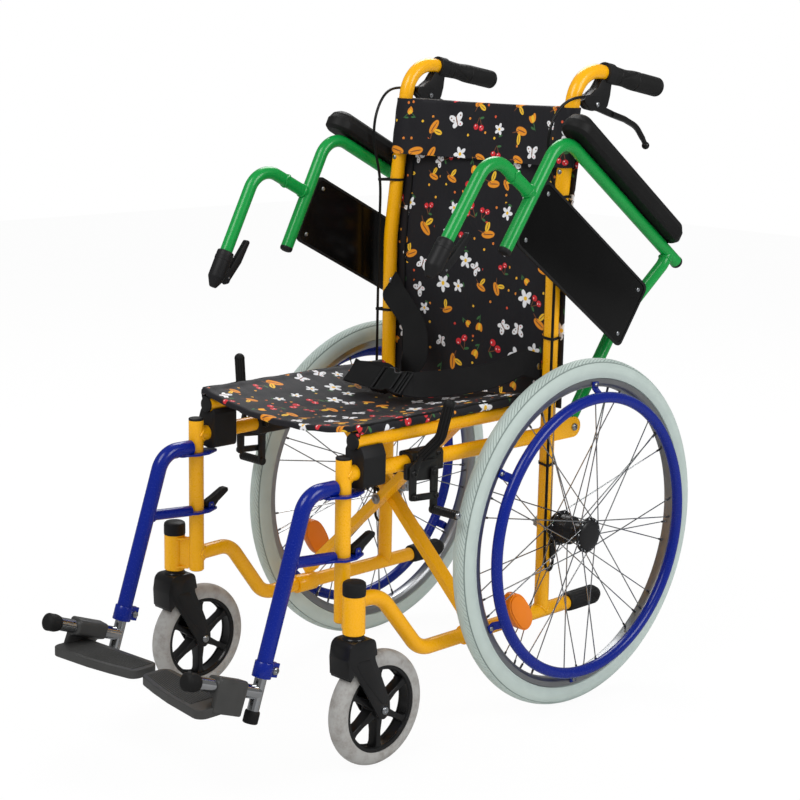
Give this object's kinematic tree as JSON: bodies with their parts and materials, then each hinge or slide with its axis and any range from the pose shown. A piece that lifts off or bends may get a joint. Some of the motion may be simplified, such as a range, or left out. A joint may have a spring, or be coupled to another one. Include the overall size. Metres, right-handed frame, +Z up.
{
  "type": "folding wheelchair",
  "caption": "Folding wheelchair with cross brace, laced rear wheels with handrims, swivel casters, flip-back arms, swing-away footrests and sling seat.",
  "frame": {"origin": "on the floor, under the middle of the whole chair's box", "axes": "+Z up, the chair faces -Y, its left side is +X"},
  "size_m": [0.594, 1.1075, 1.105],
  "materials": {
    "yellow_frame": "gloss",
    "blue_paint": "gloss",
    "green_paint": "gloss",
    "black_steel": "satin",
    "bright_steel": "satin",
    "chrome_tube": "polished",
    "alloy": "polished",
    "black_plastic": "fine grain",
    "panel_gloss": "gloss",
    "black_rubber": "matte",
    "arm_foam": "self-skinned foam",
    "grey_tyre": "matte",
    "pale_tyre": "matte",
    "printed_cloth": "printed cloth",
    "webbing": "woven web"
  },
  "bodies": {
    "right_frame": {"right_side_frame": "yellow_frame", "right_tipping_sleeve": "black_rubber", "right_rail_saddle": "black_plastic", "right_push_grip": "black_rubber", "right_brake_body": "black_plastic", "right_brake_cable": "black_rubber", "right_lock_mount": "black_plastic", "back_sling": "printed_cloth"},
    "left_frame": {"left_side_frame": "yellow_frame", "left_tipping_sleeve": "black_rubber", "left_rail_saddle": "black_plastic", "left_push_grip": "black_rubber", "left_brake_body": "black_plastic", "left_brake_cable": "black_rubber", "left_lock_mount": "black_plastic"},
    "bar_a": {"cross_bar_a": "yellow_frame", "centre_bolt": "bright_steel"},
    "bar_b": {"cross_bar_b": "yellow_frame"},
    "seat": {"seat_sling": "printed_cloth", "left_lap_belt": "webbing", "right_lap_belt": "webbing", "belt_buckle": "black_plastic"},
    "left_wheel": {"left_rear_wheel": "alloy", "left_rear_tyre": "grey_tyre", "left_handrim": "blue_paint"},
    "right_wheel": {"right_rear_wheel": "alloy", "right_rear_tyre": "grey_tyre", "right_handrim": "blue_paint"},
    "left_fork": {"left_caster_fork": "black_plastic"},
    "right_fork": {"right_caster_fork": "black_plastic"},
    "left_roller": {"left_caster_wheel": "black_plastic", "left_caster_tyre": "pale_tyre"},
    "right_roller": {"right_caster_wheel": "black_plastic", "right_caster_tyre": "pale_tyre"},
    "left_hanger": {"left_footrest_hanger": "blue_paint"},
    "right_hanger": {"right_footrest_hanger": "blue_paint"},
    "left_swing_catch": {"left_swing_latch": "black_plastic"},
    "right_swing_catch": {"right_swing_latch": "black_plastic"},
    "left_stem": {"left_footrest_stem": "chrome_tube"},
    "right_stem": {"right_footrest_stem": "chrome_tube"},
    "left_plate": {"left_footplate": "black_plastic"},
    "right_plate": {"right_footplate": "black_plastic"},
    "left_lock": {"left_lock_lever": "black_plastic"},
    "right_lock": {"right_lock_lever": "black_plastic"},
    "left_link": {"left_lock_link": "black_steel"},
    "right_link": {"right_lock_link": "black_steel"},
    "left_shoe": {"left_lock_shoe": "black_steel"},
    "right_shoe": {"right_lock_shoe": "black_steel"},
    "left_arm": {"left_arm_frame": "green_paint", "left_arm_pad": "arm_foam", "left_side_panel": "panel_gloss", "left_arm_socket": "black_plastic"},
    "right_arm": {"right_arm_frame": "green_paint", "right_arm_pad": "arm_foam", "right_side_panel": "panel_gloss", "right_arm_socket": "black_plastic"},
    "left_arm_catch": {"left_arm_latch": "black_plastic"},
    "right_arm_catch": {"right_arm_latch": "black_plastic"},
    "left_hand_brake": {"left_brake_lever": "black_plastic"},
    "right_hand_brake": {"right_brake_lever": "black_plastic"}
  },
  "joints": [
    {"name": "fold", "type": "hinge", "parent": "right_frame", "child": "bar_a", "pos_m": [-0.198, 0.02, 0.154], "axis": [0, -1, 0], "range_deg": [0, 27], "deforming": ["seat_sling", "back_sling", "left_lap_belt", "right_lap_belt"]},
    {"name": "scissor", "type": "hinge", "parent": "bar_a", "child": "bar_b", "pos_m": [0, 0.02, 0.3547], "axis": [0, -1, 0], "range_deg": [-54, 0]},
    {"name": "left_side_hinge", "type": "hinge", "parent": "bar_b", "child": "left_frame", "pos_m": [0.198, 0.02, 0.154], "axis": [0, -1, 0], "range_deg": [0, 27]},
    {"name": "seat_level", "type": "hinge", "parent": "bar_a", "child": "seat", "pos_m": [0, 0.02, 0.3547], "axis": [0, -1, 0], "range_deg": [-27, 0]},
    {"name": "left_wheel_spin", "type": "hinge", "parent": "left_frame", "child": "left_wheel", "pos_m": [0.256, 0.2475, 0.305], "axis": [1, 0, 0], "continuous": true},
    {"name": "right_wheel_spin", "type": "hinge", "parent": "right_frame", "child": "right_wheel", "pos_m": [-0.256, 0.2475, 0.305], "axis": [1, 0, 0], "continuous": true},
    {"name": "left_caster_swivel", "type": "hinge", "parent": "left_frame", "child": "left_fork", "pos_m": [0.227, -0.2555, 0.25], "axis": [0, 0, 1], "continuous": true},
    {"name": "right_caster_swivel", "type": "hinge", "parent": "right_frame", "child": "right_fork", "pos_m": [-0.227, -0.2555, 0.25], "axis": [0, 0, 1], "continuous": true},
    {"name": "left_caster_spin", "type": "hinge", "parent": "left_fork", "child": "left_roller", "pos_m": [0.227, -0.2065, 0.095], "axis": [1, 0, 0], "continuous": true},
    {"name": "right_caster_spin", "type": "hinge", "parent": "right_fork", "child": "right_roller", "pos_m": [-0.227, -0.2065, 0.095], "axis": [1, 0, 0], "continuous": true},
    {"name": "left_footrest_swing", "type": "hinge", "parent": "left_frame", "child": "left_hanger", "pos_m": [0.184, -0.2415, 0.453], "axis": [0, 0, 1], "range_deg": [0, 90]},
    {"name": "right_footrest_swing", "type": "hinge", "parent": "right_frame", "child": "right_hanger", "pos_m": [-0.184, -0.2415, 0.453], "axis": [0, 0, -1], "range_deg": [0, 90]},
    {"name": "left_swing_release", "type": "hinge", "parent": "left_hanger", "child": "left_swing_catch", "pos_m": [0.184, -0.2155, 0.347], "axis": [1, 0, 0], "range_deg": [0, 12], "stiffness_Nm_per_rad": 0.5},
    {"name": "right_swing_release", "type": "hinge", "parent": "right_hanger", "child": "right_swing_catch", "pos_m": [-0.184, -0.2155, 0.347], "axis": [1, 0, 0], "range_deg": [0, 12], "stiffness_Nm_per_rad": 0.5},
    {"name": "left_stem_slide", "type": "slide", "parent": "left_hanger", "child": "left_stem", "axis": [0, -0.3121, -0.9501], "range_m": [0, 0.08]},
    {"name": "right_stem_slide", "type": "slide", "parent": "right_hanger", "child": "right_stem", "axis": [0, -0.3121, -0.9501], "range_m": [0, 0.08]},
    {"name": "left_plate_flip", "type": "hinge", "parent": "left_stem", "child": "left_plate", "pos_m": [0.18, -0.5515, 0.211], "axis": [0, 0.9353, -0.3538], "range_deg": [0, 114]},
    {"name": "right_plate_flip", "type": "hinge", "parent": "right_stem", "child": "right_plate", "pos_m": [-0.18, -0.5515, 0.211], "axis": [0, -0.9353, 0.3538], "range_deg": [0, 114]},
    {"name": "left_lock_push", "type": "hinge", "parent": "left_frame", "child": "left_lock", "pos_m": [0.2075, -0.1185, 0.46], "axis": [1, 0, 0], "range_deg": [0, 18]},
    {"name": "right_lock_push", "type": "hinge", "parent": "right_frame", "child": "right_lock", "pos_m": [-0.2075, -0.1185, 0.46], "axis": [1, 0, 0], "range_deg": [0, 18]},
    {"name": "left_shoe_swing", "type": "hinge", "parent": "left_frame", "child": "left_shoe", "pos_m": [0.2075, -0.0705, 0.456], "axis": [1, 0, 0], "range_deg": [0, 18]},
    {"name": "right_shoe_swing", "type": "hinge", "parent": "right_frame", "child": "right_shoe", "pos_m": [-0.2075, -0.0705, 0.456], "axis": [1, 0, 0], "range_deg": [0, 18]},
    {"name": "left_link_pivot", "type": "hinge", "parent": "left_lock", "child": "left_link", "pos_m": [0.2075, -0.1185, 0.422], "axis": [1, 0, 0], "range_deg": [-18, 0]},
    {"name": "right_link_pivot", "type": "hinge", "parent": "right_lock", "child": "right_link", "pos_m": [-0.2075, -0.1185, 0.422], "axis": [1, 0, 0], "range_deg": [-18, 0]},
    {"name": "left_arm_lift", "type": "hinge", "parent": "left_frame", "child": "left_arm", "pos_m": [0.198, 0.2785, 0.48], "axis": [-1, 0, 0], "range_deg": [-35.7, 24.3]},
    {"name": "right_arm_lift", "type": "hinge", "parent": "right_frame", "child": "right_arm", "pos_m": [-0.198, 0.2785, 0.48], "axis": [-1, 0, 0], "range_deg": [-26.6, 33.4]},
    {"name": "left_arm_release", "type": "hinge", "parent": "left_arm", "child": "left_arm_catch", "pos_m": [0.239, -0.08785, 0.78758], "axis": [-1, 0, 0], "range_deg": [0, 8], "stiffness_Nm_per_rad": 0.5},
    {"name": "right_arm_release", "type": "hinge", "parent": "right_arm", "child": "right_arm_catch", "pos_m": [-0.239, -0.13189, 0.72577], "axis": [-1, 0, 0], "range_deg": [0, 8], "stiffness_Nm_per_rad": 0.5},
    {"name": "left_brake_pull", "type": "hinge", "parent": "left_frame", "child": "left_hand_brake", "pos_m": [0.198, 0.3135, 1.034], "axis": [1, 0, 0], "range_deg": [0, 12], "stiffness_Nm_per_rad": 1},
    {"name": "right_brake_pull", "type": "hinge", "parent": "right_frame", "child": "right_hand_brake", "pos_m": [-0.198, 0.3135, 1.034], "axis": [1, 0, 0], "range_deg": [0, 12], "stiffness_Nm_per_rad": 1}
  ],
  "couplings": [
    {"joint": "scissor", "follows": "fold", "ratio": -2},
    {"joint": "left_side_hinge", "follows": "fold", "ratio": 1},
    {"joint": "seat_level", "follows": "fold", "ratio": -1},
    {"joint": "left_plate_flip", "follows": "fold", "ratio": 4.2},
    {"joint": "right_plate_flip", "follows": "fold", "ratio": 4.2},
    {"joint": "left_shoe_swing", "follows": "left_lock_push", "ratio": 1},
    {"joint": "left_link_pivot", "follows": "left_lock_push", "ratio": -1},
    {"joint": "right_shoe_swing", "follows": "right_lock_push", "ratio": 1},
    {"joint": "right_link_pivot", "follows": "right_lock_push", "ratio": -1}
  ]
}
